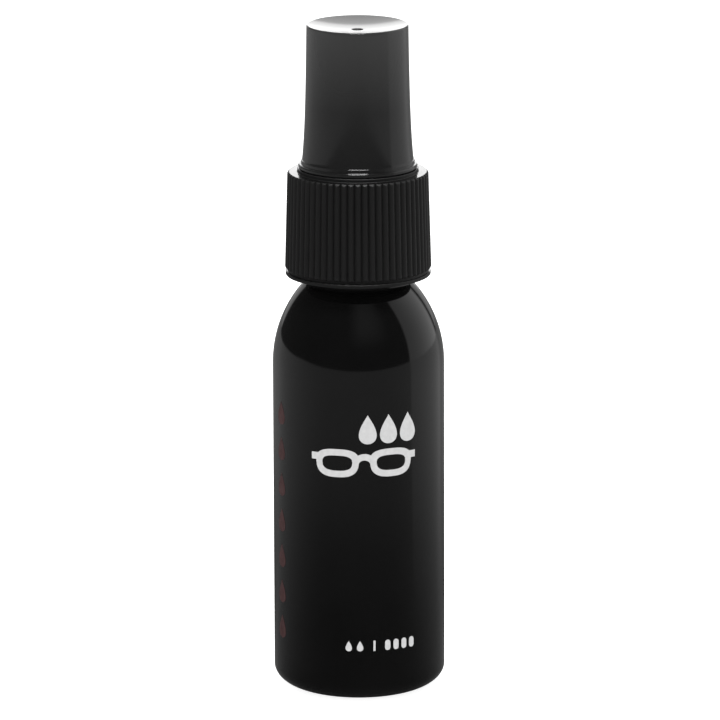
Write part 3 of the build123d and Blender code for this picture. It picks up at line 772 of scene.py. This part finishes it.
def build_pieces():
    gloss = blown_gloss()
    collar = moulded(
        "closure_satin", grey(0.0045), grey(0.0065), 0.5, grain=0.006 * MM, worn=0.06, level=0.1,
        Specular_IOR_Level=0.38,
    )
    cap = moulded(
        "overcap_semi_gloss", grey(0.0085), grey(0.0105), 0.095, grain=0.002 * MM, worn=0.15,
        # painted light: the cap's upper part is painted paler, as if more light fell on it
        faded_ink_and_painted_light=(CAP_TOP_Z - 13.5 * MM, CAP_TOP_Z, grey(0.028)),
    )
    button = moulded("actuator_semi_gloss", grey(0.012), grey(0.016), 0.24, worn=0.2)
    insert = moulded("insert_gloss", grey(0.010), grey(0.013), 0.16)
    natural = grey(0.72, 0.012)
    pale = grey(0.8, 0.01)
    waxy = {"Subsurface_Weight": 0.25, "Subsurface_Scale": 0.6 * MM}
    pump = moulded("pump_natural", natural, pale, 0.36, **waxy)
    stem = moulded("stem_white", grey(0.78), grey(0.84), 0.26)
    soft = moulded("piston_soft", grey(0.68, 0.02), grey(0.76, 0.02), 0.42, **waxy)
    tube = moulded("tube_natural", grey(0.66, 0.015), grey(0.74, 0.015), 0.3, **waxy)
    foam = moulded("gasket_foam", grey(0.6, 0.02), grey(0.7, 0.02), 0.75, grain=0.03 * MM, grain_scale=5200.0)
    rubber = moulded("seal_rubber", grey(0.02), grey(0.03), 0.6, grain=0.012 * MM)
    wire = metal("spring_wire", 0.58, 0.28, drawn=True)
    ball = metal("ball_polished", 0.62, 0.08, drawn=False)

    bottle_shell, closure_shell, cap_shell = bottle(), closure(), overcap()
    shells = (
        (bottle_shell, gloss, "bottle", "bottle", "bottle_plastic"),
        (closure_shell, collar, "closure", "closure_collar", "closure_plastic"),
        (cap_shell, cap, "overcap", "overcap", "overcap_plastic"),
    )
    for piece, material, body, node, slot in shells:
        piece.data.materials.append(material)
        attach(piece, body)
        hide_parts(node)
    dull_gate(cap_shell)
    for piece in springs():
        piece.data.materials.append(wire)
    light_ink = ink("ink_light_grey", grey(0.52), grey(0.44))
    red_ink = ink("ink_dark_red", (0.05, 0.014, 0.014, 1), (0.034, 0.010, 0.010, 1))
    for piece, material in ((front_print(), light_ink), (gauge_print(), light_ink), (side_print(), red_ink)):
        piece.data.materials.append(material)
        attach(piece, "bottle")
    for node, material in {
        "actuator": button, "nozzle_insert": insert, "upper_stem": stem, "lower_stem": stem,
        "piston": soft, "inlet_ball": ball, "pump_housing": pump, "turret_ring": pump,
        "stem_seal": rubber, "neck_gasket": foam, "dip_tube": tube,
    }.items():
        dress(node, material)


# ================================================================ stage
class Glow(Nodes):
    """Light whose strength is worked out from a direction or a place."""

    def add(self, first, *others):
        for other in others:
            first = self.math("ADD", first, other)
        return first

    def times(self, first, *others):
        for other in others:
            first = self.math("MULTIPLY", first, other)
        return first

    def smooth(self, value, low, high, low_out=0.0, high_out=1.0):
        return self.ramp(value, low, high, low_out, high_out, kind="SMOOTHSTEP")

    def heading(self, place):
        """Distance from the axis, and the heading: 1 in front, 0 beside, -1 behind."""
        across = self.math("MULTIPLY", place["X"], place["X"])
        along = self.math("MULTIPLY", place["Y"], place["Y"])
        reach = self.math("SQRT", self.math("ADD", across, along))
        return reach, self.math("DIVIDE", self.math("MULTIPLY", place["Y"], -1.0), reach)


# Headings: 1 in front of the bottle, 0 beside it, -1 behind it.
RIGHT_BOX_EDGE = 0.29        # the right-hand softbox begins here, with an edge this much blurred
EDGE_BLUR = 0.03
RIGHT_BOX_FADE = -0.72       # it starts to fade here
RIGHT_BOX_END = -0.81        # it is gone here, and the far wall starts to show
FAR_WALL_FULL = -0.86        # the far wall is at full strength from here on

# Strengths of light, of which the room's are for glossy rays only.
DAYLIGHT = 0.8               # on matt surfaces
CAMERA_EXTRA = 0.25          # on top of that to the camera, so that the backdrop is white
ROOM_DARK = 0.05
BACKDROP_LOW = 3.4           # the backdrop's lower and upper part
BACKDROP_HIGH = 1.9
FAR_WALL = 0.6
FRONT_GLIMMER = 0.16
TABLE_NEAR = 0.035           # the table close to the bottle, and what is added further out
TABLE_CLEAR = 0.21
TABLE_BESIDE = 0.14
TABLE_RIGHT = 0.18
TOP_BOX = 32.0

FLOOR_SIZE = 12.0
FLOOR_DROP = 0.02 * MM       # from the bottle's foot down to the floor and the reflected table
TABLE_DROP = 0.05 * MM
TABLE_SIZE = 6.0
TABLE_Y = (-0.767, 1.3)      # front and back edge of the reflected table
TOP_BOX_PLACE = (0, -0.14, 0.75)


def light_material(name, strength):
    material = bpy.data.materials.new(name)
    material.use_nodes = True
    tree = material.node_tree
    tree.nodes.clear()
    out = tree.nodes.new("ShaderNodeOutputMaterial")
    light = tree.nodes.new("ShaderNodeEmission")
    light.inputs["Strength"].default_value = strength
    tree.links.new(light.outputs["Emission"], out.inputs["Surface"])
    return material


def plane(name, size_x, size_y, place, material):
    """Flat stage piece that the camera doesn't see."""
    bm = bmesh.new()
    bmesh.ops.create_grid(bm, x_segments=1, y_segments=1, size=0.5)
    mesh = bpy.data.meshes.new(name)
    bm.to_mesh(mesh)
    bm.free()
    mesh.materials.append(material)
    sheet = bpy.data.objects.new(name, mesh)
    sheet.scale = (size_x, size_y, 1)
    sheet.location = place
    sheet.visible_camera = False
    sheet.visible_shadow = False
    bpy.context.scene.collection.objects.link(sheet)
    return sheet


def softbox(name, centre, facing, width, height, strength):
    sheet = plane(name, width, height, centre, light_material(name + "_glow", strength))
    sheet.rotation_euler = (Vector(facing) - Vector(centre)).to_track_quat("Z", "Y").to_euler()


def floor():
    """Plain white floor for the camera and for diffuse light."""
    material = bpy.data.materials.new("floor_paper")
    material.use_nodes = True
    surface = material.node_tree.nodes["Principled BSDF"]
    surface.inputs["Base Color"].default_value = grey(0.8)
    surface.inputs["Roughness"].default_value = 0.9
    surface.inputs["Emission Color"].default_value = grey(1.0)
    surface.inputs["Emission Strength"].default_value = 0.9
    sheet = plane("floor", FLOOR_SIZE, FLOOR_SIZE, (0, 0, BOTTLE_LOW.z - FLOOR_DROP), material)
    sheet.visible_camera = True
    sheet.visible_glossy = False


def right_side(g, ahead):
    """Headings that the right-hand softbox takes up."""
    begins = g.smooth(ahead, RIGHT_BOX_EDGE + EDGE_BLUR, RIGHT_BOX_EDGE - EDGE_BLUR)
    return g.times(begins, g.smooth(ahead, RIGHT_BOX_END, RIGHT_BOX_FADE))


def reflected_floor():
    """What glossy rays see below: a grey table, darker close to the bottle and brighter beside it."""
    material = light_material("table_glow", 1.0)
    g = Glow(material.node_tree)
    place = g.split(g.tree.nodes.new("ShaderNodeNewGeometry").outputs["Position"])
    reach, ahead = g.heading(place)
    clear = g.smooth(reach, 0.03, 0.25)
    beside = g.times(g.smooth(ahead, 0.9, -0.3), g.smooth(ahead, -0.95, -0.65))
    right = g.times(right_side(g, ahead), g.smooth(place["X"], 0, 0.001))
    further = g.times(clear, TABLE_CLEAR)
    strength = g.add(
        TABLE_NEAR, further, g.times(beside, TABLE_BESIDE), g.times(right, clear, TABLE_RIGHT)
    )
    light = next(n for n in g.tree.nodes if n.type == "EMISSION")
    g.tree.links.new(strength, light.inputs["Strength"])
    front, back = TABLE_Y
    middle = (0, (front + back) / 2, BOTTLE_LOW.z - TABLE_DROP)
    sheet = plane("table_reflection", TABLE_SIZE, back - front, middle, material)
    sheet.visible_diffuse = False
    sheet.visible_transmission = False


def world():
    """White to the camera and even light for matt surfaces. In reflections it is a dark room with a
    bright backdrop low behind the bottle and a tall softbox on the right."""
    sky = bpy.data.worlds.new("studio")
    bpy.context.scene.world = sky
    sky.use_nodes = True
    tree = sky.node_tree
    tree.nodes.clear()
    g = Glow(tree)
    way = g.split(tree.nodes.new("ShaderNodeTexCoord").outputs["Generated"])
    _, ahead = g.heading(way)

    aside = g.math("ABSOLUTE", way["X"])
    behind = g.times(g.smooth(ahead, -0.75, -0.9), g.smooth(aside, 0.26, 0.2), g.smooth(way["Z"], 0.8, 0.6))
    backdrop = g.times(behind, g.smooth(way["Z"], 0.38, 0.33, BACKDROP_HIGH, BACKDROP_LOW))
    right = g.times(
        right_side(g, ahead), g.smooth(way["X"], 0.0, 0.02), g.smooth(way["Z"], 0.85, 0.7),
        g.smooth(ahead, RIGHT_BOX_EDGE, -0.6, 0.65, 1.1),
    )
    far_wall = g.smooth(ahead, RIGHT_BOX_END, FAR_WALL_FULL, 0.0, FAR_WALL)
    glimmer = g.times(
        g.smooth(ahead, 0.6, 1.0), g.smooth(way["X"], -0.3, 0.1), g.smooth(way["Z"], 0.2, 0.6), FRONT_GLIMMER
    )
    lit = g.math("MAXIMUM", g.math("MAXIMUM", backdrop, right), far_wall)
    room = g.add(ROOM_DARK, lit, glimmer)

    out = tree.nodes.new("ShaderNodeOutputWorld")
    path = tree.nodes.new("ShaderNodeLightPath")
    light = tree.nodes.new("ShaderNodeBackground")
    tree.links.new(light.outputs["Background"], out.inputs["Surface"])
    glossy = g.times(path.outputs["Is Glossy Ray"], room)
    plain = g.math("SUBTRACT", 1.0, path.outputs["Is Glossy Ray"])
    seen = g.times(path.outputs["Is Camera Ray"], CAMERA_EXTRA)
    tree.links.new(g.add(glossy, g.times(plain, DAYLIGHT), seen), light.inputs["Strength"])


def studio():
    softbox("top_softbox", TOP_BOX_PLACE, (0, 0, CAP_TOP_Z / 2), width=0.26, height=0.18, strength=TOP_BOX)
    floor()
    reflected_floor()
    world()


def camera():
    """Long lens, over a metre away, looking down on the bottle; the picture leans a hair to the left."""
    distance = 1.15
    elevation, lean = math.radians(13.4), math.radians(0.19)
    aim = Vector((0.25 * MM, 0, 56.0 * MM))
    data = bpy.data.cameras.new("camera")
    data.lens = 342.6
    data.sensor_width = 36.0
    data.clip_start = 0.05
    data.clip_end = 20.0
    eye = bpy.data.objects.new("camera", data)
    back = Vector((0, -math.cos(elevation), math.sin(elevation)))
    eye.location = aim + back * distance
    eye.rotation_mode = "QUATERNION"
    eye.rotation_quaternion = (-back).to_track_quat("-Z", "Y") @ Quaternion((0, 0, 1), -lean)
    bpy.context.scene.collection.objects.link(eye)
    bpy.context.scene.camera = eye
    bpy.context.scene.view_settings.view_transform = "Standard"


build_pieces()
studio()
camera()
